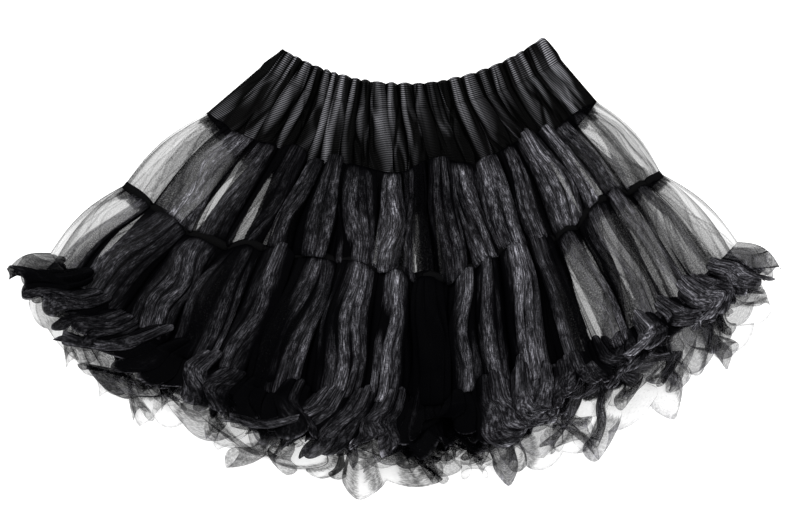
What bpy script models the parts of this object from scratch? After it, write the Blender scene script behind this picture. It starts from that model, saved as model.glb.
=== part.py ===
"""A two-tier tutu skirt, laid out flat with its front upwards.

+X runs across the skirt, +Y from the hem towards the waist, and +Z up from the surface that it lies
on. The origin is under the middle of the outline. Sizes are in millimetres until a mesh is made.
"""

import math
import random
from collections import namedtuple

import bmesh
import bpy
import numpy as np
from mathutils import Matrix, Vector

MM = 0.001

# Thicknesses of the cloth walls, and the gaps between pieces.
CLOTH = 1.5
CASING_CLOTH = 2.0  # the yoke's top, turned over its elastic
TAPE_CLOTH = 1.7
SEAM_GAP = 0.3  # between pieces sewn edge to edge, in plan
LAYER_GAP = 0.3  # between walls that lie on each other
FRONT_SLANT = 2.4  # how much thicker than its cloth a front wall may measure upright
BACK_SLANT = 1.35  # the same for a back wall, which has less room

TAPE_WIDTH = 8.0
CASING_SHARE = 0.26  # how far down the yoke the elastic's casing reaches
WAIST_SCALLOP = 2.4  # how far the gathers push the waist's edge out
BACK_SHARE = 0.75  # how much of the height under the front the back's folds fill
FAN_CENTRE = (8.0, 420.0)  # the folds fan out from about here
FOLD_WIDTHS = (0.7, 1.35)  # the narrowest and widest fold of a piece, before they share its width
FOLD_HEIGHTS = (0.55, 1.0)  # its lowest and highest
SIDE_FALL = 6  # the power by which folds flatten, and sides swell, towards the side edges
PARTING_FALL = 4  # the power by which the front comes down to the back there

# Each row of the laid-out skirt is an arc through its left end, middle and right end.
Row = namedtuple("Row", "left middle right")
FRONT_ROWS = {
    "waist": Row((-115, 215), (11, 177), (155, 228)),
    "casing": Row((-133, 193), (14, 152), (168, 201)),
    "yoke": Row((-187, 147), (26, 90), (204, 159)),
    "tier": Row((-268, 76), (31, -8), (268, 87)),
    "flounce": Row((-342, 8), (26, -130), (344, 19)),
    "hem": Row((-387, -14), (14, -184), (386, -8)),
}
BACK_ROWS = {
    "waist": Row((-114, 214), (11, 146), (154, 227)),
    "casing": Row((-132, 192), (13, 122), (167, 200)),
    "yoke": Row((-186, 146), (24, 54), (203, 158)),
    "tier": Row((-267, 75), (28, -40), (267, 86)),
    "flounce": Row((-338, 0), (22, -155), (340, 6)),
    "hem": Row((-366, -62), (18, -228), (381, -62)),
}

# How far each row's line is pushed towards the waist along its length, -1 at the left end.
Lift = namedtuple("Lift", "across height")
TIER_LIFTS = (
    Lift(-1.0, 0), Lift(-0.72, -8), Lift(-0.5, 8), Lift(-0.3, 9), Lift(-0.12, 2),
    Lift(0.06, -12), Lift(0.32, 8), Lift(0.52, 0), Lift(0.72, 16), Lift(0.88, 4), Lift(1.0, 0),
)
HEM_LIFTS = (
    Lift(-1.0, 0), Lift(-0.82, 6), Lift(-0.6, 17), Lift(-0.42, 14), Lift(-0.3, 0),
    Lift(0.2, 0), Lift(0.38, 12), Lift(0.66, 25), Lift(0.86, 14), Lift(1.0, 0),
)

LIFTS = {FRONT_ROWS["tier"]: TIER_LIFTS, FRONT_ROWS["hem"]: HEM_LIFTS}

# The height of the surface where back and front meet, by distance from the fan's centre. At the
# sides it is just the back's own layers, so that the front rests on them there.
Parting = namedtuple("Parting", "radius side middle")
PARTINGS = (
    Parting(230, CASING_CLOTH, 6.5), Parting(270, CASING_CLOTH, 7.5), Parting(300, TAPE_CLOTH, 8.2),
    Parting(500, TAPE_CLOTH, 15), Parting(525, 2 * CLOTH + LAYER_GAP, 16),
    Parting(650, 2 * CLOTH + LAYER_GAP, 19),
)

# One piece of gathered cloth: how many folds it has, how deep its front folds stand, how much of
# that depth is left at its two seams, how far its folds' valleys rise between them, and how far
# its side edges swell out.
Gather = namedtuple("Gather", "folds depth seam_share loft side_swell rows seed")
YOKE_FRONT = Gather(24, 9.0, 0.62, 0.0, 0, (0, 0.13, 0.26, 0.6, 1), 3)
YOKE_BACK = Gather(12, 0, 0.7, 0.0, 0, (0, 0.26, 0.6, 1), 5)
UPPER_FRONT = Gather(18, 17.0, 0.3, 0.2, 12, (0, 0.22, 0.5, 0.78, 1), 8)
UPPER_BACK = Gather(10, 0, 0.4, 0.0, 12, (0, 0.3, 0.7, 1), 12)
LOWER_FRONT = Gather(18, 21.0, 0.28, 0.2, 12, (0, 0.2, 0.5, 0.8, 1), 21)
LOWER_BACK = Gather(10, 0, 0.4, 0.0, 12, (0, 0.3, 0.7, 1), 27)

# A flounce: its folds, how far down to its hem row it reaches, how uneven its points are, how
# deep its folds stand at the free edge, and its cloth's thickness.
Flounce = namedtuple("Flounce", "folds reach tips depth cloth seed")
FRONT_UPPER_FLOUNCE = Flounce(26, 0.76, 5.0, 10.0, 1.8, 31)
FRONT_LOWER_FLOUNCE = Flounce(24, 1.0, 9.0, 13.0, CLOTH, 37)
BACK_UPPER_FLOUNCE = Flounce(14, 0.8, 8.0, 0, CLOTH, 41)
BACK_LOWER_FLOUNCE = Flounce(14, 1.0, 9.0, 0, CLOTH, 43)
FLOUNCE_ROWS = (0, 0.45, 1)
FLOUNCE_ROOT = 3.0  # the height that one flounce's gathered top takes up

# Where a fold's points lie from one valley to the next, and how high each is.
Profile = namedtuple("Profile", "phases heights")
ROUND_FOLD = Profile((0, 0.24, 0.5, 0.76), (0, 0.72, 1, 0.72))
RESTING_FOLD = Profile((0, 0.36, 0.56, 0.72, 0.88), (0, 0, 0.8, 1, 0.75))


def clear_scene():
    for thing in list(bpy.data.objects):
        bpy.data.objects.remove(thing)


def material(name, colour, roughness):
    made = bpy.data.materials.new(name)
    made.use_nodes = True
    surface = made.node_tree.nodes["Principled BSDF"]
    surface.inputs["Base Color"].default_value = (*colour, 1)
    surface.inputs["Roughness"].default_value = roughness
    return made


def along_arc(row, u):
    """Points of the circle through a row's three points, evenly turned; u is -1 at the left end."""
    (ax, ay), (bx, by), (cx, cy) = row
    twice = 2 * (ax * (by - cy) + bx * (cy - ay) + cx * (ay - by))
    a2, b2, c2 = ax * ax + ay * ay, bx * bx + by * by, cx * cx + cy * cy
    x0 = (a2 * (by - cy) + b2 * (cy - ay) + c2 * (ay - by)) / twice
    y0 = (a2 * (cx - bx) + b2 * (ax - cx) + c2 * (bx - ax)) / twice
    radius = math.hypot(ax - x0, ay - y0)
    left, middle, right = (math.atan2(y - y0, x - x0) for x, y in row)
    angle = middle + u * (right - left) / 2 + u * u * ((left + right) / 2 - middle)
    return x0 + radius * np.cos(angle), y0 + radius * np.sin(angle)


def eased(table, u):
    """The second column of a table at u, eased between its rows so that it has no kinks."""
    places = np.array([row[0] for row in table], float)
    values = np.array([row[1] for row in table], float)
    after = np.clip(np.searchsorted(places, u, side="right"), 1, len(places) - 1)
    share = np.clip((u - places[after - 1]) / (places[after] - places[after - 1]), 0, 1)
    ease = (1 - np.cos(math.pi * share)) / 2
    return values[after - 1] + ease * (values[after] - values[after - 1])


def row_line(rows, name, u):
    """The plan of a named row, with the waves that the gathers push into it."""
    x, y = along_arc(rows[name], u)
    lifts = LIFTS.get(rows[name])
    if lifts:
        y = y + eased(lifts, u)
    return x, y


def between_rows(rows, upper, lower, u, v, swell=0.0):
    """Plan points a share v of the way from one row to the next, swelling out at both sides."""
    ax, ay = row_line(rows, upper, u)
    bx, by = row_line(rows, lower, u)
    side = np.sign(u)
    length = np.hypot(bx - ax, by - ay)
    push = swell * np.sin(math.pi * v) * np.abs(u) ** SIDE_FALL
    x = ax + v * (bx - ax) - push * side * (by - ay) / length
    y = ay + v * (by - ay) + push * side * (bx - ax) / length
    return x, y


def row_gap(rows, upper, lower):
    """The length of cloth between two rows, at the middle."""
    (ax, ay), (bx, by) = rows[upper].middle, rows[lower].middle
    return math.hypot(bx - ax, by - ay)


def parting(x, y, u):
    """The height of the surface that keeps the back below and the front above."""
    radius = np.hypot(x - FAN_CENTRE[0], y - FAN_CENTRE[1])
    table = np.array(PARTINGS)
    at_side = np.interp(radius, table[:, 0], table[:, 1])
    at_middle = np.interp(radius, table[:, 0], table[:, 2])
    return at_side + (at_middle - at_side) * (1 - u**PARTING_FALL)


def uneven_folds(count, seed, profile):
    """Column places from -1 to 1, each column's height as a share, and its fold's own number."""
    dice = random.Random(seed)
    widths = np.array([dice.uniform(*FOLD_WIDTHS) for _ in range(count)])
    heights = np.array([dice.uniform(*FOLD_HEIGHTS) for _ in range(count)])
    edges = np.concatenate([[0], np.cumsum(widths)]) / widths.sum() * 2 - 1
    columns, share, number = [], [], []
    for k in range(count):
        for phase, height in zip(profile.phases, profile.heights):
            columns.append(edges[k] + phase * (edges[k + 1] - edges[k]))
            share.append(height * heights[k])
            number.append(k)
    return np.array(columns + [1.0]), np.array(share + [0.0]), np.array(number + [0])


def upright(height, cloth, x, y, on_top):
    """How thick a wall measures straight up, so that it is as thick as its cloth across the slope."""
    run = np.hypot(np.diff(x, axis=1), np.diff(y, axis=1))
    across = np.abs(np.diff(height, axis=1)) / run
    before = np.pad(across, ((0, 0), (1, 0)), mode="edge")
    after = np.pad(across, ((0, 0), (0, 1)), mode="edge")
    drop = np.hypot(np.gradient(x, axis=0), np.gradient(y, axis=0))
    along = np.gradient(height, axis=0) / drop
    slant = (np.hypot(before, along) + np.hypot(after, along)) / 2
    most = FRONT_SLANT if on_top else BACK_SLANT
    return cloth * np.minimum(np.hypot(1, slant), most)


def cloth_wall(name, cloth_material, x, y, under, over):
    """One closed wall from its plan points and the heights of its two faces, in millimetres."""
    rows, columns = x.shape
    shape = bmesh.new()
    bmesh.ops.create_grid(shape, x_segments=columns - 1, y_segments=rows - 1, size=1)
    bmesh.ops.triangulate(shape, faces=shape.faces[:], quad_method="FIXED")
    lower = shape.verts[:]
    raised = bmesh.ops.extrude_face_region(shape, geom=shape.faces[:], use_keep_orig=True)
    upper = [thing for thing in raised["geom"] if isinstance(thing, bmesh.types.BMVert)]
    for points, height in ((lower, under), (upper, over)):
        for point in points:
            column = round((point.co.x + 1) / 2 * (columns - 1))
            row = round((1 - point.co.y) / 2 * (rows - 1))
            at = row, column
            point.co = (x[at] * MM, y[at] * MM, height[at] * MM)
    bmesh.ops.recalc_face_normals(shape, faces=shape.faces[:])
    mesh = bpy.data.meshes.new(name)
    shape.to_mesh(mesh)
    shape.free()
    mesh.materials.append(cloth_material)
    made = bpy.data.objects.new(name, mesh)
    bpy.context.scene.collection.objects.link(made)
    return made


def room_for(gather, on_top, x, y, u, cloth):
    """The lowest place of a gathered piece, and how high its folds may rise from there."""
    meet = parting(x, y, u)
    if on_top:
        depth = gather.depth * (1 - np.abs(u) ** SIDE_FALL)
        return meet + LAYER_GAP, depth
    return np.zeros_like(x), np.maximum(BACK_SHARE * meet - BACK_SLANT * cloth, 0)


def gathered_panel(name, cloth_material, rows, ends, gather, on_top, v_start, v_end):
    """A yoke or a tier, gathered between two seams."""
    profile = ROUND_FOLD if on_top else RESTING_FOLD
    columns, share, _ = uneven_folds(gather.folds, gather.seed, profile)
    v_rows = v_start + (v_end - v_start) * np.array(gather.rows)
    u, v = np.meshgrid(columns, v_rows)
    x, y = between_rows(rows, *ends, u, v, gather.side_swell)
    low, depth = room_for(gather, on_top, x, y, u, CLOTH)
    swell = gather.seam_share + (1 - gather.seam_share) * np.sin(math.pi * v)
    loft = gather.loft * np.sin(math.pi * v) * depth
    height = low + loft + (depth - loft) * share * swell
    over = height + upright(height, CLOTH, x, y, on_top)
    return cloth_wall(name, cloth_material, x, y, height, over)


def yoke(name, cloth_material, rows, gather, on_top):
    """The yoke, with its top turned over an elastic, which gathers it and thickens it there."""
    profile = ROUND_FOLD if on_top else RESTING_FOLD
    columns, share, _ = uneven_folds(gather.folds, gather.seed, profile)
    length = row_gap(rows, "waist", "yoke")
    v_rows = np.array(gather.rows) * (1 - SEAM_GAP / length)
    u, v = np.meshgrid(columns, v_rows)
    casing_x, casing_y = between_rows(rows, "waist", "casing", u, v / CASING_SHARE)
    skirt_v = (v - CASING_SHARE) / (1 - CASING_SHARE)
    skirt_x, skirt_y = between_rows(rows, "casing", "yoke", u, skirt_v)
    in_casing = v <= CASING_SHARE
    x = np.where(in_casing, casing_x, skirt_x)
    y = np.where(in_casing, casing_y, skirt_y)
    y = y + WAIST_SCALLOP * (share - 0.5) * (v == 0) * (1 - u**SIDE_FALL)
    cloth = np.where(v < CASING_SHARE, CASING_CLOTH, CLOTH)
    low, depth = room_for(gather, on_top, x, y, u, cloth)
    swell = gather.seam_share + (1 - gather.seam_share) * np.sin(math.pi * v)
    height = low + depth * share * swell
    over = height + upright(height, cloth, x, y, on_top)
    return cloth_wall(name, cloth_material, x, y, height, over)


def seam_tape(name, tape_material, rows, row, above, below, gather, on_top):
    """The binding over one seam, a band that follows the gathers of the piece below it."""
    profile = ROUND_FOLD if on_top else RESTING_FOLD
    columns, share, _ = uneven_folds(gather.folds, gather.seed, profile)
    half = TAPE_WIDTH / 2
    u = np.vstack([columns, columns])
    up = half / row_gap(rows, above, row)
    down = half / row_gap(rows, row, below)
    x_top, y_top = between_rows(rows, above, row, columns, 1 - up, gather.side_swell)
    x_low, y_low = between_rows(rows, row, below, columns, down, gather.side_swell)
    x, y = np.vstack([x_top, x_low]), np.vstack([y_top, y_low])
    low, depth = room_for(gather, on_top, x, y, u, TAPE_CLOTH)
    height = low + depth * share * gather.seam_share
    over = height + upright(height, TAPE_CLOTH, x, y, on_top)
    return cloth_wall(name, tape_material, x, y, height, over)


def flounce(name, cloth_material, rows, details, on_top, floor, depth):
    """A gathered strip from the flounce seam to the hem, flat at its root and wavy at its edge."""
    profile = ROUND_FOLD if on_top else RESTING_FOLD
    columns, share, number = uneven_folds(details.folds, details.seed, profile)
    dice = random.Random(details.seed + 1)
    tips = np.array([dice.uniform(-1, 1) for _ in range(details.folds)])[number]
    length = row_gap(rows, "flounce", "hem")
    start = SEAM_GAP / length
    v_rows = start + (1 - start) * np.array(FLOUNCE_ROWS)
    u, v = np.meshgrid(columns, v_rows)
    reach = details.reach + details.tips * tips * share * v / length
    x, y = between_rows(rows, "flounce", "hem", u, v * reach)
    low = floor(x, y, u, v)
    height = low + depth(x, y, u, v) * share * v
    over = height + upright(height, details.cloth, x, y, on_top)
    return cloth_wall(name, cloth_material, x, y, height, over)


def flounce_depth(depth, u, v):
    """The height that a front flounce takes up, from its root to its edge."""
    return depth * v * (1 - np.abs(u) ** SIDE_FALL)


def front_flounces(cloth_material):
    lower, upper = FRONT_LOWER_FLOUNCE, FRONT_UPPER_FLOUNCE

    def lower_floor(x, y, u, v):
        return parting(x, y, u) + LAYER_GAP

    def upper_floor(x, y, u, v):
        return lower_floor(x, y, u, v) + FLOUNCE_ROOT + flounce_depth(lower.depth, u, v / lower.reach)

    flounce(
        "flounce_front_lower", cloth_material, FRONT_ROWS, lower, True, lower_floor,
        lambda x, y, u, v: flounce_depth(lower.depth, u, v) * BACK_SHARE,
    )
    flounce(
        "flounce_front_upper", cloth_material, FRONT_ROWS, upper, True, upper_floor,
        lambda x, y, u, v: flounce_depth(upper.depth, u, v),
    )


def back_flounces(cloth_material):
    def middle(x, y, u):
        """Where the two back flounces meet, half way up to the front."""
        return np.maximum(BACK_SHARE * parting(x, y, u) / 2, CLOTH + LAYER_GAP)

    flounce(
        "flounce_back_lower", cloth_material, BACK_ROWS, BACK_LOWER_FLOUNCE, False,
        lambda x, y, u, v: np.zeros_like(x),
        lambda x, y, u, v: np.maximum(middle(x, y, u) - BACK_SLANT * CLOTH - LAYER_GAP, 0),
    )
    flounce(
        "flounce_back_upper", cloth_material, BACK_ROWS, BACK_UPPER_FLOUNCE, False,
        lambda x, y, u, v: middle(x, y, u),
        lambda x, y, u, v: np.maximum(middle(x, y, u) - BACK_SLANT * CLOTH, 0),
    )


def tier(name, cloth_material, rows, ends, gather, on_top, tape_above, tape_below):
    """A tier between two seams, cut short at the one that the tape covers."""
    length = row_gap(rows, *ends)
    taken = (TAPE_WIDTH / 2 + SEAM_GAP) / length
    first = taken if tape_above else 0
    last = 1 - (taken if tape_below else 0)
    return gathered_panel(name, cloth_material, rows, ends, gather, on_top, first, last)


def move_to_origin(things):
    """Set the origin under the middle of the outline, on the surface that the skirt lies on."""
    points = np.array([point.co for thing in things for point in thing.data.vertices])
    low, high = points.min(axis=0), points.max(axis=0)
    middle = Vector(((low[0] + high[0]) / 2, (low[1] + high[1]) / 2, low[2]))
    for thing in things:
        thing.data.transform(Matrix.Translation(-middle))


def build():
    clear_scene()
    knit = material("ribbed knit", (0.012, 0.012, 0.014), 0.55)
    organza = material("crinkled organza", (0.018, 0.018, 0.021), 0.6)
    binding = material("woven binding", (0.005, 0.005, 0.006), 0.7)
    sides = (
        ("front", FRONT_ROWS, True, YOKE_FRONT, UPPER_FRONT, LOWER_FRONT),
        ("back", BACK_ROWS, False, YOKE_BACK, UPPER_BACK, LOWER_BACK),
    )
    for side, rows, on_top, yoke_gather, upper, lower in sides:
        yoke(f"yoke_{side}", knit, rows, yoke_gather, on_top)
        tier(f"upper_tier_{side}", organza, rows, ("yoke", "tier"), upper, on_top, False, True)
        seam_tape(f"tier_tape_{side}", binding, rows, "tier", "yoke", "flounce", lower, on_top)
        tier(f"lower_tier_{side}", organza, rows, ("tier", "flounce"), lower, on_top, True, False)
    front_flounces(organza)
    back_flounces(organza)
    move_to_origin(bpy.data.objects[:])


build()
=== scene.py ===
import math
import random
from collections import namedtuple

import bpy
import numpy as np
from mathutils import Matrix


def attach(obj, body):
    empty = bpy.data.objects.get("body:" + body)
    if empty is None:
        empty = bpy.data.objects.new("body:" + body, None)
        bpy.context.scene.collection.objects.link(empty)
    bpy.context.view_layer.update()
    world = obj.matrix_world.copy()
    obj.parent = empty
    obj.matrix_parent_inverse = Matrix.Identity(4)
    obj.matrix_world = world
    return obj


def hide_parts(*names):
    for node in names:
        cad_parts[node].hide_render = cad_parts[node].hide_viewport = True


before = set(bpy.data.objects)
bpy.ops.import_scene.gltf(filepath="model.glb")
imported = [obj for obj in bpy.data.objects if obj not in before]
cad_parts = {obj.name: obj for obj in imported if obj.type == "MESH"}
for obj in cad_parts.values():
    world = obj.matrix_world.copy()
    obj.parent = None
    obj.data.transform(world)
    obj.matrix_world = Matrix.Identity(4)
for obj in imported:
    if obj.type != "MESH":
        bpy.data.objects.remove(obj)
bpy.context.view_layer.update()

bl_info = {
    "name": "Laid-out tutu skirt",
    "version": (1, 0, 0),
    "blender": (4, 5, 0),
    "location": "View3D > Sidebar > Tutu",
    "description": "Dresses the skirt's frame in ribbed knit, crinkled tulle and a taped seam",
    "category": "Add Mesh",
}

MM = 0.001

# The laid-out skirt is planned in millimetres, +Y towards the waist, and moved to the frame's middle.
SHIFT = (0.5, 0.035)
FAN_CENTRE = (8.0, 420.0)
Row = namedtuple("Row", "left middle right")
FRONT_ROWS = {
    "waist": Row((-115, 215), (11, 177), (155, 228)),
    "casing": Row((-133, 193), (14, 152), (168, 201)),
    "yoke": Row((-187, 147), (26, 90), (204, 159)),
    "tier": Row((-268, 76), (31, -8), (268, 87)),
    "flounce": Row((-342, 8), (26, -130), (344, 19)),
    "hem": Row((-387, -14), (14, -184), (386, -8)),
}
BACK_ROWS = {
    "waist": Row((-114, 214), (11, 146), (154, 227)),
    "casing": Row((-132, 192), (13, 122), (167, 200)),
    "yoke": Row((-186, 146), (24, 54), (203, 158)),
    "tier": Row((-267, 75), (28, -40), (267, 86)),
    "flounce": Row((-338, 0), (22, -155), (340, 6)),
    "hem": Row((-366, -62), (18, -228), (381, -62)),
}
Lift = namedtuple("Lift", "across height")
TIER_LIFTS = (
    Lift(-1.0, 0), Lift(-0.72, -8), Lift(-0.5, 8), Lift(-0.3, 9), Lift(-0.12, 2),
    Lift(0.06, -12), Lift(0.32, 8), Lift(0.52, 0), Lift(0.72, 16), Lift(0.88, 4), Lift(1.0, 0),
)
HEM_LIFTS = (
    Lift(-1.0, 0), Lift(-0.82, 6), Lift(-0.6, 17), Lift(-0.42, 14), Lift(-0.3, 0),
    Lift(0.2, 0), Lift(0.38, 12), Lift(0.66, 25), Lift(0.86, 14), Lift(1.0, 0),
)
# How far the back's seam between the tiers runs along the front's, from the middle to the sides.
BACK_FOLLOWS = ((0.0, 0.0), (0.35, 0.0), (0.62, 0.9), (0.88, 0.9), (0.94, 0.45), (1.0, 1.0))
YOKE_LIFTS = (
    Lift(-1.0, 0), Lift(-0.82, -3), Lift(-0.64, 3), Lift(-0.48, -2), Lift(-0.32, 3), Lift(-0.12, -3),
    Lift(0.1, 4), Lift(0.3, -3), Lift(0.48, 3), Lift(0.68, -3), Lift(0.86, 3), Lift(1.0, 0),
)
LIFTS = {FRONT_ROWS["yoke"]: YOKE_LIFTS, FRONT_ROWS["tier"]: TIER_LIFTS, FRONT_ROWS["hem"]: HEM_LIFTS}

# The height of the surface between back and front, by distance from the fan's centre.
Parting = namedtuple("Parting", "radius side middle")
PARTINGS = (
    Parting(230, 2.0, 6.5), Parting(270, 2.0, 7.5), Parting(300, 1.7, 8.2),
    Parting(500, 1.7, 15), Parting(525, 3.3, 16), Parting(650, 3.3, 19),
)
LAYER_GAP = 0.8  # how far each layer of cloth keeps off that surface
BACK_SHARE = 0.75  # how much of the room below that surface the back's folds take up
# The higher these are, the nearer to the two sides the folds, that surface and the loops last.
SIDE_FALL = 6
PARTING_FALL = 4
END_FALL = 14
CASING_SHARE = 0.26  # how much of the yoke's length the turned-over top takes up
SIDE_REACH = 0.92  # how far down the flounces reach at their two ends
FLOUNCE_SWELL = 9.0  # how far a flounce's two ends round out
HEADING_PUFF = 17.0  # how far a tier's gathers puff up over the seam above them
PUFF_HEIGHT = 0.34  # how high a flounce's puffs stand up, against how far they reach over its seam
SCALLOP = 6.5  # how far the front's seam between the tiers rises over each of its folds
TAPE_WIDTH = 8.5
TAPE_THICKNESS = 0.0006
# The spread of the folds' widths and heights, and the count and seed of each row of folds.
FOLD_WIDTHS = (0.7, 1.35)
FOLD_HEIGHTS = (0.55, 1.0)
YOKE_FRONT_FOLDS = (24, 3)
YOKE_BACK_FOLDS = (12, 5)
LOWER_FRONT_FOLDS = (18, 21)
LOWER_BACK_FOLDS = (10, 27)
# How high the front's folds may stand, and the lower front flounce under the upper one.
FRONT_YOKE_DEPTH = 9.0
FRONT_TIER_DEPTH = 21.0
FRONT_FLOUNCE_DEPTH = 13.0

# How long the pieces are cut down the skirt, and the tape across and down it, in metres.
YOKE_LENGTH = 0.11
TIER_LENGTH = 0.125
TAPE_CUT = (0.60, 0.010)
FLOUNCE_LENGTH = 0.083  # of a flounce that reaches just to the hem

# The cloths' patterns, in millimetres across and along each cloth.
CRINKLES_MM = (0.6, 9.0)
NET_MM = (0.9, 1.3)
# The crumples only break up the tulle's painted highlight; they don't shape the cloth.
CRUMPLES_MM = (4.0, 19.0)
WEAVE_MM = (1.0, 1.0)
RIB_PITCH_MM = 2.2  # coarser than the real ribs, so that they show in a whole view
# A wave texture at scale 1 has twenty bands in 2 pi units.
RIBS_PER_WAVE_UNIT = 2 * math.pi / 20 / (RIB_PITCH_MM * MM)
ONE_LAYER_LETS_THROUGH = 0.83  # of the light
BARELY_GATHERED = 3.0  # up to this many layers, the crinkles don't vary how dense the tulle is

# How the tiers' tubes lie: their loops, pushes and leans as shares of a fold's width, and how far
# they wander from side to side, where the skirt's half is 1.
TIER_LOOPS = (0.0, 0.22)
BACK_LOOPS = 0.12  # how much more the back's tubes loop
TIER_PUSH = 0.32
TIER_LEANS = (-0.55, 0.55)
TIER_WANDER = 0.032
# How far down a tier's sheet its puffed heading ends, its overhang starts and its seam lies.
HEADING_END = 0.16
OVERHANG_START = 0.8
SEAM_AT = 0.94
# The same for the flounces, which loop and lean more.
FLOUNCE_LOOPS = (0.18, 0.42)
FLOUNCE_PUSH = 0.46
FLOUNCE_LEANS = (-1.3, 1.3)
FLOUNCE_WANDER = 0.05
FLOUNCE_WAVER = 3.0  # how much more they waver than the tiers do
HEM_WANDER = 7.0  # how far, in millimetres, their free edges wander in and out
PUFFS_END = 0.3  # how far down a flounce its puffs end, and its denser edge starts
HEM_START = 0.95
# The same for the yoke.
YOKE_LOOPS = (0.08, 0.26)
YOKE_PUSH = 0.2
YOKE_WANDER = 0.03

# Widths and lengths of the creases, as shares of the sheet's half width and of its length.
TIER_CREASES = ((0.003, 0.012), (0.1, 0.45))
EDGE_CREASES = ((0.0014, 0.0022), (0.3, 1.0))
FLOUNCE_CREASES = ((0.002, 0.008), (0.15, 0.6))
YOKE_CREASES = ((0.004, 0.012), (0.12, 0.4))
YOKE_LONG_CREASES = ((0.01, 0.022), (0.4, 0.9))

# The two soft lamps, in metres and watts, and the photo's view from straight above, in metres.
Lamp = namedtuple("Lamp", "name place size power")
LAMPS = (
    Lamp("key", (-1.1, 1.2, 1.7), 1.2, 45.0),
    Lamp("fill", (1.4, 0.2, 1.5), 1.4, 22.0),
)
VIEW_CENTRE = (0.0075, 0.002)
VIEW_WIDTH = 0.8

# How many layers of tulle lie gathered together, at places across a piece.
Veil = namedtuple("Veil", "across layers")
UPPER_FRONT_VEIL = (
    Veil(-1.0, 0.8), Veil(-0.94, 1.2), Veil(-0.9, 5), Veil(-0.82, 8), Veil(-0.74, 12), Veil(-0.64, 26),
    Veil(-0.5, 40), Veil(-0.3, 40), Veil(-0.14, 26), Veil(-0.08, 14), Veil(0.04, 16), Veil(0.14, 32),
    Veil(0.3, 46), Veil(0.5, 34), Veil(0.62, 16), Veil(0.76, 11), Veil(0.88, 6), Veil(0.95, 1.2),
    Veil(1.0, 0.8),
)
LOWER_FRONT_VEIL = (
    Veil(-1.0, 0.8), Veil(-0.97, 1.6), Veil(-0.93, 12), Veil(-0.88, 28), Veil(-0.74, 46), Veil(-0.4, 54),
    Veil(0.0, 54), Veil(0.3, 54), Veil(0.44, 32), Veil(0.54, 10), Veil(0.66, 9),
    Veil(0.8, 6), Veil(0.9, 3), Veil(0.95, 0.8), Veil(1.0, 0.6),
)
FRONT_FLOUNCE_VEIL = (
    Veil(-1.0, 2), Veil(-0.97, 7), Veil(-0.9, 36), Veil(-0.5, 56), Veil(0.1, 56), Veil(0.5, 50),
    Veil(0.9, 30), Veil(0.97, 6), Veil(1.0, 2),
)
BACK_VEIL = (
    Veil(-1.0, 0.6), Veil(-0.9, 0.9), Veil(-0.7, 3), Veil(-0.5, 10), Veil(-0.1, 14), Veil(0.3, 10),
    Veil(0.56, 2.4), Veil(0.9, 0.9), Veil(1.0, 0.6),
)
BACK_FLOUNCE_VEIL = (
    Veil(-1.0, 2), Veil(-0.93, 14), Veil(-0.4, 26), Veil(0.4, 26), Veil(0.93, 14), Veil(1.0, 2),
)

# How much painted highlight the gathers get, at places across the front.
Light = namedtuple("Light", "across share")
UPPER_PAINTED_LIGHTS = (
    Light(-1.0, 0.2), Light(-0.82, 0.8), Light(-0.66, 0.3), Light(-0.51, 0.6), Light(-0.43, 0.2),
    Light(-0.2, 1.1), Light(-0.09, 0.8), Light(0.0, 0.1), Light(0.08, 0.2), Light(0.21, 1.3),
    Light(0.38, 1.0), Light(0.49, 0.8), Light(0.68, 1.2), Light(1.0, 0.2),
)
FLOUNCE_PAINTED_LIGHTS = (
    Light(-1.0, 0.2), Light(-0.84, 0.2), Light(-0.72, 0.4), Light(-0.55, 0.7), Light(-0.4, 0.5),
    Light(-0.1, 1.1), Light(-0.04, 0.7), Light(0.02, 0.0), Light(0.12, 0.0), Light(0.24, 1.4),
    Light(0.5, 1.4), Light(0.7, 1.0), Light(0.85, 1.2), Light(1.0, 0.8),
)
YOKE_PAINTED_LIGHTS = (
    Light(-1.0, 0.8), Light(-0.9, 0.9), Light(-0.75, 1.2), Light(-0.62, 0.5), Light(-0.5, 1.2),
    Light(-0.33, 1.0), Light(-0.26, 0.3), Light(-0.12, 1.1), Light(0.02, 0.6), Light(0.1, 1.1),
    Light(0.22, 0.7), Light(0.4, 1.4), Light(0.55, 0.8), Light(0.7, 1.5), Light(0.85, 1.1),
    Light(1.0, 1.6),
)
LOWER_PAINTED_LIGHTS = (
    Light(-1.0, 0.3), Light(-0.93, 0.6), Light(-0.83, 0.25), Light(-0.7, 0.6), Light(-0.6, 0.05),
    Light(-0.5, 1.1), Light(-0.41, 0.0), Light(-0.33, 1.2), Light(-0.27, 0.1), Light(-0.2, 1.3),
    Light(-0.09, 1.6), Light(-0.04, 0.1), Light(0.0, 0.0), Light(0.08, 0.0), Light(0.14, 1.2),
    Light(0.2, 1.3), Light(0.26, 0.1), Light(0.32, 1.2), Light(0.4, 1.2), Light(0.46, 0.2),
    Light(0.7, 0.8), Light(1.0, 0.3),
)

# Places where the gathers part and the light surface shows, from start to end down the piece.
Slit = namedtuple("Slit", "across width start end")
UPPER_SLITS = (
    Slit(-0.62, 0.02, 0.2, 1.4), Slit(-0.76, 0.016, 0.1, 0.95), Slit(-0.53, 0.009, 0.5, 1.3),
    Slit(-0.02, 0.012, 0.3, 1.5), Slit(-0.17, 0.007, 0.5, 1.4), Slit(0.06, 0.006, 0.4, 1.2),
    Slit(0.84, 0.024, -0.1, 0.6), Slit(0.7, 0.014, 0.3, 1.3), Slit(0.61, 0.008, 0.2, 0.9),
)
LOWER_SLITS = (
    Slit(0.5, 0.018, 0.25, 1.3), Slit(0.58, 0.008, 0.1, 0.7), Slit(-0.9, 0.008, 0.1, 0.7),
    Slit(0.86, 0.014, 0.2, 0.9), Slit(0.73, 0.01, 0.3, 1.0), Slit(0.64, 0.007, 0.2, 0.8),
)

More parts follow.
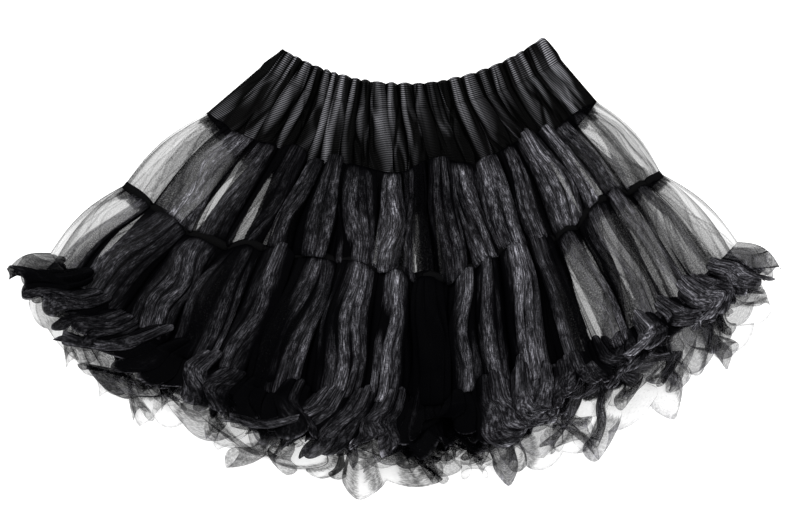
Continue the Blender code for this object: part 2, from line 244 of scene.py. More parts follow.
# How far the upper tier hangs over its tape, as shares, at places across the front.
OVERHANGS = (
    (-1.0, 0.0), (-0.64, 0.05), (-0.5, 0.1), (-0.4, 1.0), (-0.26, 0.7), (-0.18, 0.0), (-0.1, 0.9),
    (0.45, 1.0), (0.54, 0.0), (0.7, 0.3), (0.78, 0.0), (1.0, 0.0),
)

# A tier's gathered sheet: the frame's node that it stands for, the rows that it hangs between, where
# on its way between them it starts and ends, its folds as the frame has them, how high they stand,
# at the seams and at the least, and how far its sides round out and its puffs hang over its lower
# seam, in millimetres. Then its grid, how dense it is across, and how much painted highlight it gets
# across.
Panel = namedtuple("Panel", "name node front upper lower start end folds depth seams loft swell "
                            "overhang columns lines veil lights slits")
PANELS = (
    Panel("upper_tier_front_tulle", "upper_tier_front", True, upper="yoke", lower="tier",
          start=-0.03, end=0.985, folds=(18, 8), depth=17.0, seams=0.3, loft=0.2, swell=8,
          overhang=15.0, columns=1300, lines=56,
          veil=UPPER_FRONT_VEIL, lights=UPPER_PAINTED_LIGHTS, slits=UPPER_SLITS),
    Panel("lower_tier_front_tulle", "lower_tier_front", True, upper="tier", lower="flounce",
          start=0.0, end=1.0, folds=LOWER_FRONT_FOLDS, depth=FRONT_TIER_DEPTH, seams=0.28, loft=0.2,
          swell=8, overhang=22.0, columns=1300, lines=56,
          veil=LOWER_FRONT_VEIL, lights=LOWER_PAINTED_LIGHTS, slits=LOWER_SLITS),
    Panel("upper_tier_back_tulle", "upper_tier_back", False, upper="yoke", lower="tier",
          start=-0.03, end=0.985, folds=(10, 12), depth=0.0, seams=0.4, loft=0.0, swell=7,
          overhang=0.0, columns=600, lines=36,
          veil=BACK_VEIL, lights=UPPER_PAINTED_LIGHTS, slits=UPPER_SLITS),
    Panel("lower_tier_back_tulle", "lower_tier_back", False, upper="tier", lower="flounce",
          start=0.0, end=1.0, folds=LOWER_BACK_FOLDS, depth=0.0, seams=0.4, loft=0.0, swell=7,
          overhang=0.0, columns=600, lines=36,
          veil=BACK_VEIL, lights=LOWER_PAINTED_LIGHTS, slits=LOWER_SLITS),
)
# A flounce: its folds as the frame has them, how far down it reaches, how far its folds' tips and
# its small points run in and out, its height, its height over the one below it, how far its puffs
# reach over its seam, its small curls in each fold, how many layers its open edge counts as, and
# how far down it opens. Heights and reaches are in millimetres. Then its grid, and how dense it is.
Ruffle = namedtuple("Ruffle", "name node front folds reach tips points depth root puff curls "
                              "open_layers opens columns lines veil")
RUFFLES = (
    Ruffle("flounce_front_lower_tulle", "flounce_front_lower", True, folds=(24, 37), reach=1.24,
           tips=14.0, points=24.0, depth=9.75, root=0.0, puff=6.0, curls=4,
           open_layers=3.0, opens=(0.5, 0.85), columns=1500, lines=46, veil=FRONT_FLOUNCE_VEIL),
    Ruffle("flounce_front_upper_tulle", "flounce_front_upper", True, folds=(26, 31), reach=1.04,
           tips=25.0, points=18.0, depth=12.0, root=3.0, puff=38.0, curls=4,
           open_layers=12.0, opens=(0.5, 0.95), columns=1500, lines=46, veil=FRONT_FLOUNCE_VEIL),
    Ruffle("flounce_back_lower_tulle", "flounce_back_lower", False, folds=(14, 43), reach=0.98,
           tips=8.0, points=27.0, depth=0.0, root=0.0, puff=0.0, curls=4,
           open_layers=1.0, opens=(0.05, 0.35), columns=1100, lines=34, veil=BACK_FLOUNCE_VEIL),
    Ruffle("flounce_back_upper_tulle", "flounce_back_upper", False, folds=(14, 41), reach=0.72,
           tips=8.0, points=28.0, depth=0.0, root=1.0, puff=0.0, curls=5,
           open_layers=1.3, opens=(0.2, 0.6), columns=1100, lines=34, veil=BACK_FLOUNCE_VEIL),
)


def linear(colour):
    """An sRGB hex colour as linear red, green, blue and alpha."""
    parts = [int(colour[i:i + 2], 16) / 255 for i in (1, 3, 5)]
    return (*[p / 12.92 if p <= 0.04045 else ((p + 0.055) / 1.055) ** 2.4 for p in parts], 1.0)


class TutuCloth(bpy.types.PropertyGroup):
    """The cut and gathers of the skirt's cloth."""

    yoke_cut: bpy.props.FloatProperty(
        name="Yoke width", description="Cut width of the yoke's front or back",
        default=0.44, unit="LENGTH")
    upper_cut: bpy.props.FloatProperty(
        name="Upper tier width", description="Cut width of the upper tier's half",
        default=0.70, unit="LENGTH")
    lower_cut: bpy.props.FloatProperty(
        name="Lower tier width", description="Cut width of the lower tier's half",
        default=0.95, unit="LENGTH")
    flounce_cut: bpy.props.FloatProperty(
        name="Flounce width", description="Cut width of half a flounce",
        default=0.9, unit="LENGTH")
    fine_gathers: bpy.props.IntProperty(
        name="Fine gathers", description="Small gathers in each large fold of a tier", default=5)
    fine_depth: bpy.props.FloatProperty(
        name="Fine depth", description="How deep the small gathers are",
        default=0.0022, unit="LENGTH")
    creases: bpy.props.IntProperty(
        name="Creases", description="Long soft creases in each tier and flounce", default=160)


class TutuFinish(bpy.types.PropertyGroup):
    """The colours of the skirt's cloth: the dark colours of the tulle and the knit, the lighter colours
    of their painted highlights, and the tape's two thread colours.
    """

    tulle: bpy.props.FloatVectorProperty(
        name="Tulle", description="Gathered tulle in shade",
        size=4, subtype="COLOR", min=0, max=1, default=linear("#010102"))
    # A lighter copy of the tulle's colour, used for the painted highlight on its gathers; the tulle
    # colour above is its own near-black, used where no highlight is painted.
    tulle_painted_highlight: bpy.props.FloatVectorProperty(
        name="Tulle, lit", description="The tulle's threads where they catch the light",
        size=4, subtype="COLOR", min=0, max=1, default=linear("#b2b1ba"))
    knit: bpy.props.FloatVectorProperty(
        name="Knit", description="The yoke's knit between its ribs",
        size=4, subtype="COLOR", min=0, max=1, default=linear("#020202"))
    # A lighter copy of the knit's colour, used for the painted highlight on its ribs.
    knit_painted_highlight: bpy.props.FloatVectorProperty(
        name="Knit, lit", description="The knit's ribs where they catch the light",
        size=4, subtype="COLOR", min=0, max=1, default=linear("#9c9ca2"))
    binding: bpy.props.FloatVectorProperty(
        name="Binding", description="The tape between its threads",
        size=4, subtype="COLOR", min=0, max=1, default=linear("#030303"))
    binding_lit: bpy.props.FloatVectorProperty(
        name="Binding, lit", description="The tape's threads",
        size=4, subtype="COLOR", min=0, max=1, default=linear("#0c0c0d"))


def add(tree, kind, settings=None, inputs=None):
    """Add a node with its settings, its numbers and its links."""
    made = tree.nodes.new(kind)
    for name, value in (settings or {}).items():
        setattr(made, name, value)
    for name, value in (inputs or {}).items():
        socket = made.inputs[name]
        if isinstance(value, bpy.types.NodeSocket):
            tree.links.new(value, socket)
        else:
            socket.default_value = value
    return made


def new_material(name):
    made = bpy.data.materials.new(name)
    made.use_nodes = True
    made.node_tree.nodes.clear()
    return made, made.node_tree


def finish_material(tree, surface):
    output = add(tree, "ShaderNodeOutputMaterial")
    tree.links.new(surface.outputs["BSDF"], output.inputs["Surface"])


def lengthwise_noise(tree, size_mm, detail):
    """Noise from its sizes across and along the cloth, in millimetres."""
    cloth = add(tree, "ShaderNodeUVMap", {"uv_map": "cut"})
    across, along = size_mm
    scale = (1 / (across * MM), 1 / (along * MM), 1.0)
    placed = add(tree, "ShaderNodeMapping", None, {"Vector": cloth.outputs["UV"], "Scale": scale})
    return add(tree, "ShaderNodeTexNoise", None,
               {"Vector": placed.outputs["Vector"], "Scale": 1.0, "Detail": detail, "Roughness": 0.6})


def ramp(tree, factor, low, high, start=0.0, end=1.0):
    """A number that runs from start to end as the factor goes from low to high."""
    return add(tree, "ShaderNodeMapRange", {"interpolation_type": "SMOOTHSTEP"},
               {"Value": factor, "From Min": low, "From Max": high, "To Min": start, "To Max": end})


def calculate(tree, operation, first, second, clamp=False):
    """One step of arithmetic on two numbers."""
    settings = {"operation": operation, "use_clamp": clamp}
    return add(tree, "ShaderNodeMath", settings, {0: first, 1: second})


def crinkled_tulle(finish):
    """Nylon tulle or organza, crinkled lengthwise.

    It is sheer where it is single and black where it is gathered, with streaks in how dense it is and
    painted grey highlights along its crinkles, where the painted_light attribute is high."""
    made, tree = new_material("crinkled nylon tulle")
    gathered = add(tree, "ShaderNodeAttribute", {"attribute_name": "gathered"})
    painted_light = add(tree, "ShaderNodeAttribute", {"attribute_name": "painted_light"})
    streak = lengthwise_noise(tree, CRINKLES_MM, 4.0)
    grain = lengthwise_noise(tree, NET_MM, 3.0)
    veil = ramp(tree, streak.outputs["Fac"], 0.35, 0.65, 0.75, 1.25)
    mesh = ramp(tree, grain.outputs["Fac"], 0.36, 0.64, 0.6, 1.4)
    flat = calculate(tree, "MINIMUM", gathered.outputs["Fac"], BARELY_GATHERED)
    deep = calculate(tree, "SUBTRACT", gathered.outputs["Fac"], flat.outputs["Value"])
    streaked = calculate(tree, "MULTIPLY", deep.outputs["Value"], veil.outputs["Result"])
    crossed = calculate(tree, "ADD", flat.outputs["Value"], streaked.outputs["Value"])
    layers = calculate(tree, "MULTIPLY", crossed.outputs["Value"], mesh.outputs["Result"])
    seen_through = calculate(tree, "POWER", ONE_LAYER_LETS_THROUGH, layers.outputs["Value"])
    alpha = calculate(tree, "SUBTRACT", 1.0, seen_through.outputs["Value"], True)
    # Painted highlight: the crinkles, net and crumple noise, times the painted_light attribute, mix in
    # the lighter copy of the tulle's colour.
    thread = ramp(tree, streak.outputs["Fac"], 0.44, 0.68, 0.1, 1.0)
    crumple = lengthwise_noise(tree, CRUMPLES_MM, 3.0)
    painted_facet_light = ramp(tree, crumple.outputs["Fac"], 0.38, 0.64, 0.3, 1.1)
    knots = calculate(tree, "MULTIPLY", thread.outputs["Result"], mesh.outputs["Result"])
    painted_light_mask = calculate(tree, "MULTIPLY", knots.outputs["Value"], painted_facet_light.outputs["Result"])
    painted_glint = calculate(tree, "MULTIPLY", painted_light_mask.outputs["Value"], painted_light.outputs["Fac"], True)
    nylon = add(tree, "ShaderNodeMix", {"data_type": "RGBA"},
                {"Factor": painted_glint.outputs["Value"],
                 "A": tuple(finish.tulle), "B": tuple(finish.tulle_painted_highlight)})
    crinkle = add(tree, "ShaderNodeBump", None,
                  {"Height": streak.outputs["Fac"], "Strength": 0.5, "Distance": 0.0008})
    surface = add(tree, "ShaderNodeBsdfPrincipled", None,
                  {"Base Color": nylon.outputs["Result"], "Alpha": alpha.outputs["Value"],
                   "Normal": crinkle.outputs["Normal"], "Roughness": 0.6, "Specular IOR Level": 0.015})
    finish_material(tree, surface)
    return made


def ribbed_knit(finish):
    """Polyester satin with fine crosswise ribs, and a painted highlight on the ribs where the
    painted_light attribute is high.
    """
    made, tree = new_material("ribbed polyester knit")
    cloth = add(tree, "ShaderNodeUVMap", {"uv_map": "cut"})
    rib = add(tree, "ShaderNodeTexWave", {"wave_type": "BANDS", "bands_direction": "Y"},
              {"Vector": cloth.outputs["UV"], "Scale": RIBS_PER_WAVE_UNIT, "Distortion": 0.0})
    painted_light = add(tree, "ShaderNodeAttribute", {"attribute_name": "painted_light"})
    # Painted highlight: the ribs take the lighter copy of the knit's colour where the painted_light
    # attribute is high.
    lit = ramp(tree, painted_light.outputs["Fac"], 0.0, 0.95)
    sharp = calculate(tree, "POWER", rib.outputs["Fac"], 1.6)
    painted_rib_highlight = calculate(tree, "MULTIPLY", sharp.outputs["Value"], lit.outputs["Result"])
    yarn = add(tree, "ShaderNodeMix", {"data_type": "RGBA"},
               {"Factor": painted_rib_highlight.outputs["Value"], "A": tuple(finish.knit), "B": tuple(finish.knit_painted_highlight)})
    bump = add(tree, "ShaderNodeBump", None,
               {"Height": rib.outputs["Fac"], "Strength": 0.5, "Distance": 0.0006})
    surface = add(tree, "ShaderNodeBsdfPrincipled", None,
                  {"Base Color": yarn.outputs["Result"], "Normal": bump.outputs["Normal"],
                   "Roughness": 0.5, "Specular IOR Level": 0.03})
    finish_material(tree, surface)
    return made


def woven_binding(finish):
    """Matt black cotton tape with a fine crosswise weave."""
    made, tree = new_material("woven cotton binding")
    weave = lengthwise_noise(tree, WEAVE_MM, 1.0)
    yarn = add(tree, "ShaderNodeMix", {"data_type": "RGBA"},
               {"Factor": weave.outputs["Fac"],
                "A": tuple(finish.binding), "B": tuple(finish.binding_lit)})
    bump = add(tree, "ShaderNodeBump", None,
               {"Height": weave.outputs["Fac"], "Strength": 0.4, "Distance": 0.0004})
    surface = add(tree, "ShaderNodeBsdfPrincipled", None,
                  {"Base Color": yarn.outputs["Result"], "Normal": bump.outputs["Normal"],
                   "Roughness": 0.85, "Specular IOR Level": 0.03})
    finish_material(tree, surface)
    return made


def along_arc(row, u):
    """Points of the circle through a row's three points, evenly turned; u is -1 at the left end."""
    (ax, ay), (bx, by), (cx, cy) = row
    twice = 2 * (ax * (by - cy) + bx * (cy - ay) + cx * (ay - by))
    a2, b2, c2 = ax * ax + ay * ay, bx * bx + by * by, cx * cx + cy * cy
    x0 = (a2 * (by - cy) + b2 * (cy - ay) + c2 * (ay - by)) / twice
    y0 = (a2 * (cx - bx) + b2 * (ax - cx) + c2 * (bx - ax)) / twice
    radius = math.hypot(ax - x0, ay - y0)
    left, middle, right = (math.atan2(y - y0, x - x0) for x, y in row)
    angle = middle + u * (right - left) / 2 + u * u * ((left + right) / 2 - middle)
    return x0 + radius * np.cos(angle), y0 + radius * np.sin(angle)


def eased(table, u):
    """The second column of a table at u, eased between its rows so that it has no kinks."""
    places = np.array([row[0] for row in table], float)
    values = np.array([row[1] for row in table], float)
    after = np.clip(np.searchsorted(places, u, side="right"), 1, len(places) - 1)
    share = np.clip((u - places[after - 1]) / (places[after] - places[after - 1]), 0, 1)
    ease = (1 - np.cos(math.pi * share)) / 2
    return values[after - 1] + ease * (values[after] - values[after - 1])


def row_line(rows, name, u):
    """Points along one of the rows of a side, with its waves."""
    x, y = along_arc(rows[name], u)
    lifts = LIFTS.get(rows[name])
    if lifts:
        y = y + eased(lifts, u)
    if rows is FRONT_ROWS and name == "tier":
        number, _, phase = fold_at(u, SCALLOP_EDGES)
        y = y + SCALLOP * (SCALLOP_HEIGHTS[number] * hump(phase) - 0.4) * (1 - np.abs(u) ** SIDE_FALL)
    if rows is BACK_ROWS and name == "tier":
        front_x, front_y = row_line(FRONT_ROWS, name, u)
        share = eased(BACK_FOLLOWS, np.abs(u))
        x, y = x + share * (front_x - x), y + share * (front_y - y)
    return x, y


def between_rows(rows, upper, lower, u, v, swell=0.0):
    """Plan points a share v of the way from one row to the next, swelling out at both sides."""
    ax, ay = row_line(rows, upper, u)
    bx, by = row_line(rows, lower, u)
    side = np.sign(u)
    length = np.hypot(bx - ax, by - ay)
    push = swell * np.sin(math.pi * np.clip(v, 0, 1)) * np.abs(u) ** SIDE_FALL
    x = ax + v * (bx - ax) - push * side * (by - ay) / length
    y = ay + v * (by - ay) + push * side * (bx - ax) / length
    return x, y


def parting(x, y, u):
    """The height of the surface that keeps the back below and the front above."""
    radius = np.hypot(x - FAN_CENTRE[0], y - FAN_CENTRE[1])
    table = np.array(PARTINGS)
    at_side = np.interp(radius, table[:, 0], table[:, 1])
    at_middle = np.interp(radius, table[:, 0], table[:, 2])
    return at_side + (at_middle - at_side) * (1 - np.clip(np.abs(u), 0, 1) ** PARTING_FALL)


def fold_places(count, seed):
    """The edges of uneven folds from -1 to 1, and each fold's height, as the frame has them."""
    dice = random.Random(seed)
    widths = np.array([dice.uniform(*FOLD_WIDTHS) for _ in range(count)])
    heights = np.array([dice.uniform(*FOLD_HEIGHTS) for _ in range(count)])
    edges = np.concatenate([[0], np.cumsum(widths)]) / widths.sum() * 2 - 1
    return edges, heights


def fold_at(t, edges):
    """The number, width and phase of the fold that each place lies in."""
    number = np.clip(np.searchsorted(edges, t, side="right") - 1, 0, len(edges) - 2)
    width = edges[number + 1] - edges[number]
    return number, width, (t - edges[number]) / width


SCALLOP_EDGES, SCALLOP_HEIGHTS = fold_places(*LOWER_FRONT_FOLDS)


def hump(phase):
    """The rounded rise and fall of one fold, from valley to valley."""
    return np.clip(np.sin(math.pi * phase), 0, 1)


def pointed(rounded):
    """A rounded rise made into one with a sharp tip."""
    return 1 - np.sqrt(1 - np.clip(rounded, 0, 1) ** 2)


def turns_back(plan, t):
    """Where a fold turns back on itself, and its cloth is seen edge on: 1 there, falling to 0."""
    slope = np.gradient(plan, axis=1) / np.gradient(t, axis=1)
    return np.exp(-(slope / 0.3) ** 2)


def creased(t, v, count, seed, widths, lengths, lean_most=0.05):
    """Soft troughs and ridges of uneven length, depth, lean and spacing, as heights about 0."""
    dice = random.Random(seed)
    total = np.zeros_like(t)
    places = t[0]
    for _ in range(count):
        centre = dice.uniform(-1, 1)
        middle = dice.uniform(0, 1)
        width = dice.uniform(*widths)
        reach = dice.uniform(*lengths)
        lean = dice.uniform(-lean_most, lean_most)
        height = dice.choice((-1.0, 0.8)) * dice.uniform(0.3, 1.0)
        span = 3 * width + lean_most
        part = slice(*np.searchsorted(places, (centre - span, centre + span)))
        across = (t[:, part] - centre - lean * (v[:, part] - middle)) / width
        along = (v[:, part] - middle) / reach
        total[:, part] += height * np.exp(-across**2 - along**2)
    return total


def cloth_sheet(name, front, x, y, z, cut, attributes, material):
    """A sheet of quads through rows of points in millimetres, with its cut's own map in metres.

    The front faces up and the back faces down, both outwards."""
    lines, columns = x.shape
    points = np.stack([x + SHIFT[0], y + SHIFT[1], z], axis=-1).reshape(-1, 3) * MM
    corner = (np.arange(lines - 1)[:, None] * columns + np.arange(columns - 1)[None]).ravel()
    faces = np.stack([corner, corner + columns, corner + columns + 1, corner + 1], axis=-1)
    faces = faces if front else faces[:, ::-1]
    mesh = bpy.data.meshes.new(name)
    mesh.from_pydata(points.tolist(), [], faces.tolist())
    chart = mesh.uv_layers.new(name="cut")
    across = np.linspace(0, cut[0], columns)
    down = np.linspace(0, cut[1], lines)
    places = np.stack(np.meshgrid(across, down), axis=-1).reshape(-1, 2)
    corners = np.empty(len(mesh.loops), dtype=np.int32)
    mesh.loops.foreach_get("vertex_index", corners)
    chart.data.foreach_set("uv", places[corners].astype(np.float32).ravel())
    for label, values in attributes.items():
        layer = mesh.attributes.new(label, "FLOAT", "POINT")
        layer.data.foreach_set("value", np.asarray(values, np.float32).ravel())
    mesh.materials.append(material)
    mesh.shade_smooth()
    made = bpy.data.objects.new(name, mesh)
    bpy.context.scene.collection.objects.link(made)
    return made


def grid(columns, lines):
    """Even places from -1 to 1 across a sheet and from 0 to 1 down it."""
    return np.meshgrid(np.linspace(-1, 1, columns), np.linspace(0, 1, lines))


def fine_gathers(t, edges, per_fold, seed, lean):
    """Smaller gathers within the large folds: their height as a share, and their sideways push."""
    small, heights = fold_places(per_fold * (len(edges) - 1), seed)
    number, width, phase = fold_at(t, small)
    return heights[number] * hump(phase), lean * width * np.sin(2 * math.pi * phase)


def uneven(count, seed, low, high):
    """One chance value for each of a number of folds."""
    dice = random.Random(seed)
    return np.array([dice.uniform(low, high) for _ in range(count)])


def drift(t, v, seed, size):
    """A slow sideways wander of the folds, so that none runs straight."""
    dice = random.Random(seed)
    total = np.zeros_like(t)
    for _ in range(7):
        turns, slope, start = dice.uniform(2, 9), dice.uniform(-2.5, 2.5), dice.uniform(0, 2 * math.pi)
        total += np.sin(turns * math.pi * t + slope * v + start) / turns
    return size * total * (1 - t**SIDE_FALL)


def wobble(number, count, seed, v):
    """A sideways waver down each fold, of its own size and wavelength, as a share of its width."""
    size = uneven(count, seed, 0.03, 0.14)[number]
    turns = uneven(count, seed + 1, 3.0, 9.0)[number]
    start = uneven(count, seed + 2, 0.0, 2 * math.pi)[number]
    return size * np.sin(turns * v + start)


def strips(t, edges, per_fold, seed, veil):
    """Layers of cloth, even within each gather and stepping sharply from one to the next."""
    small, _ = fold_places(per_fold * (len(edges) - 1), seed)
    number, _, phase = fold_at(t, small)
    counts = eased(veil, (small[:-1] + small[1:]) / 2) * uneven(len(small) - 1, seed + 1, 0.5, 1.5)
    return np.maximum(counts, 0.5)[number] + 2.0 * (np.abs(phase - 0.5) > 0.46)


def wedges(t, v, count, seed, widest):
    """Where sheer cloth overlaps: long thin wedges with sharp edges, a layer or more deep."""
    dice = random.Random(seed)
    total = np.zeros_like(t)
    for _ in range(count):
        centre, lean = dice.uniform(-1, 1), dice.uniform(-0.05, 0.05)
        wide, narrow = dice.uniform(0.2, 1.0) * widest, dice.uniform(0.0, 0.012)
        deep = dice.choice((1, 1, 2, 3)) * (1 - abs(centre) ** 12)
        along = v if dice.random() < 0.5 else 1 - v
        span = widest + abs(lean)
        part = slice(*np.searchsorted(t[0], (centre - span, centre + span)))
        across = np.abs(t[:, part] - centre - lean * (v[:, part] - 0.5))
        half = narrow + (wide - narrow) * along[:, part]
        total[:, part] += deep * (across < half) + 3.0 * (np.abs(across - half) < 0.0019)
    return total * (1 - np.abs(t) ** 30)


def parted(u, v, slits):
    """How much of the cloth is left at places where the gathers part."""
    left = np.ones_like(u)
    for slit in slits:
        middle, half = (slit.start + slit.end) / 2, (slit.end - slit.start) / 2
        narrows = slit.width * (1 - ((v - middle) / half) ** 2)
        left[(np.abs(u - slit.across) < narrows) & (np.abs(v - middle) < half)] = 0.1
    return left


def carry(piece, node):
    """Hang a piece from the skirt's body, and hide the frame's part that it stands for."""
    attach(piece, "root")
    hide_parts(node)


def room(front, x, y, u, depth):
    """The lowest place of a sheet and how high its folds may rise from there, in millimetres."""
    meet = parting(x, y, u)
    if front:
        return meet + LAYER_GAP, depth * (1 - np.abs(u) ** SIDE_FALL)
    return np.full_like(x, LAYER_GAP), np.maximum(BACK_SHARE * meet - 2 * LAYER_GAP, 0)


def tier_sheet(panel, cut, props, material):
    """One tier of one side, in tubes that stand on their seams, with small gathers and creases."""
    t, v = grid(panel.columns, panel.lines)
    count, seed = panel.folds
    edges, heights = fold_places(count, seed)
    number, width, phase = fold_at(t, edges)
    rise = hump(phase)
    belly = hump(v) ** 0.6
    share = heights[number] * rise**0.8
    loops = uneven(count, seed + 61, *TIER_LOOPS)[number] + (0.0 if panel.front else BACK_LOOPS)
    small, push = fine_gathers(t, edges, props.fine_gathers, seed + 50, TIER_PUSH)
    held = 0.3 + 0.7 * np.abs(2 * v - 1) ** 1.3
    inner = 1 - np.abs(t) ** END_FALL
    plan = t - (loops * width * np.sin(2 * math.pi * phase) * belly + push * held) * inner
    leans = uneven(count, seed + 66, *TIER_LEANS)[number] * width * rise * (v - 0.5)
    leans = leans + wobble(number, count, seed + 67, v) * width * rise * hump(v)
    plan = np.clip(plan + leans + drift(t, v, seed + 70, TIER_WANDER) * hump(v), -1, 1)
    rows = FRONT_ROWS if panel.front else BACK_ROWS
    length = math.dist(rows[panel.upper].middle, rows[panel.lower].middle)
    hang = uneven(count, seed + 62, 0.3, 1.0)[number] * rise * (1 - t**SIDE_FALL)
    hang = hang * (eased(OVERHANGS, t) if panel.upper == "yoke" else 1)
    turn = np.clip((v - OVERHANG_START) / (1 - OVERHANG_START), 0, 1)
    share_down = panel.start + (panel.end - panel.start) * np.clip(v / SEAM_AT, 0, 1)
    share_down = share_down + panel.overhang / length * hang * hump(turn)
    puff = uneven(count, seed + 63, 0.0, 1.0)[number] ** 2 * rise * (1 - t**SIDE_FALL)
    puff = puff + np.clip(drift(t, 0.0 * v, seed + 71, 0.8), 0, 0.6)
    puff = puff * hump(np.clip(v / HEADING_END, 0, 1)) * panel.front
    share_down = share_down - HEADING_PUFF / length * puff
    x, y = between_rows(rows, panel.upper, panel.lower, plan, share_down, panel.swell)
    low, depth = room(panel.front, x, y, plan, panel.depth)
    swell = panel.seams + (1 - panel.seams) * belly
    loft = panel.loft * belly * depth
    crease = creased(t, v, props.creases, seed + 90, *TIER_CREASES)
    edge_lines = np.clip(creased(t, v, 90, seed + 95, *EDGE_CREASES, 0.1), 0, 1)
    reach = np.minimum(props.fine_depth / MM, 0.3 * depth + 0.3)
    z = low + loft + (depth - loft) * share * swell + reach * (small * held + np.clip(crease, -0.6, 1.2))
    z = np.where(v == 0, low, np.maximum(z, low))
    # More layers in the valleys between the tubes: partly the tighter gathers there, partly painted
    # shade.
    pinch_and_painted_shade = (1 - rise) ** 2
    heading = np.clip(1 - v / 0.12, 0, 1) + 0.6 * np.clip((v - 0.9) / 0.1, 0, 1)
    layers = strips(t, edges, 3, seed + 98, panel.veil) * parted(plan, v, panel.slits)
    layers = layers * (0.8 + 1.4 * pinch_and_painted_shade + 0.3 * small + 1.6 * heading - 0.15 * np.clip(crease, 0, 1))
    edge_on = turns_back(plan, t)
    layers = np.maximum(layers, 1.2) + wedges(t, v, 50, seed + 97, 0.04) + 3.0 * edge_lines
    layers = layers + 1.5 * edge_on
    layers = layers + 2.0 * (np.abs(t) > 0.992) + 9 * (v < 0.04 + 0.09 * small) * (np.abs(t) < 0.975)
    # Painted highlight and painted shadow: each fold's strength comes from the painted lights table; it
    # is lighter on high gathers, crease ridges and edge-on turns, and darker at the heading and where the
    # overhang turns under.
    painted_light_strength = uneven(count, seed + 64, 0.6, 1.1)[number] * eased(panel.lights, plan)
    painted_light = 0.01 + painted_light_strength * (1.3 * share**2.4 * (0.15 + 1.0 * small**1.5) + 0.4 * np.clip(crease, -0.5, 1))
    painted_light = painted_light + 0.25 * painted_light_strength * edge_on
    painted_shadow = np.clip(1.2 - v / (0.03 + 0.08 * small), 0, 1) + np.clip((turn - 0.45) / 0.4, 0, 1)
    painted_light = np.clip(painted_light * (1 - 0.9 * painted_shadow) - 0.05, 0, 1)
    attributes = {"gathered": layers, "painted_light": painted_light}
    return cloth_sheet(panel.name, panel.front, x, y, z, cut, attributes, material)


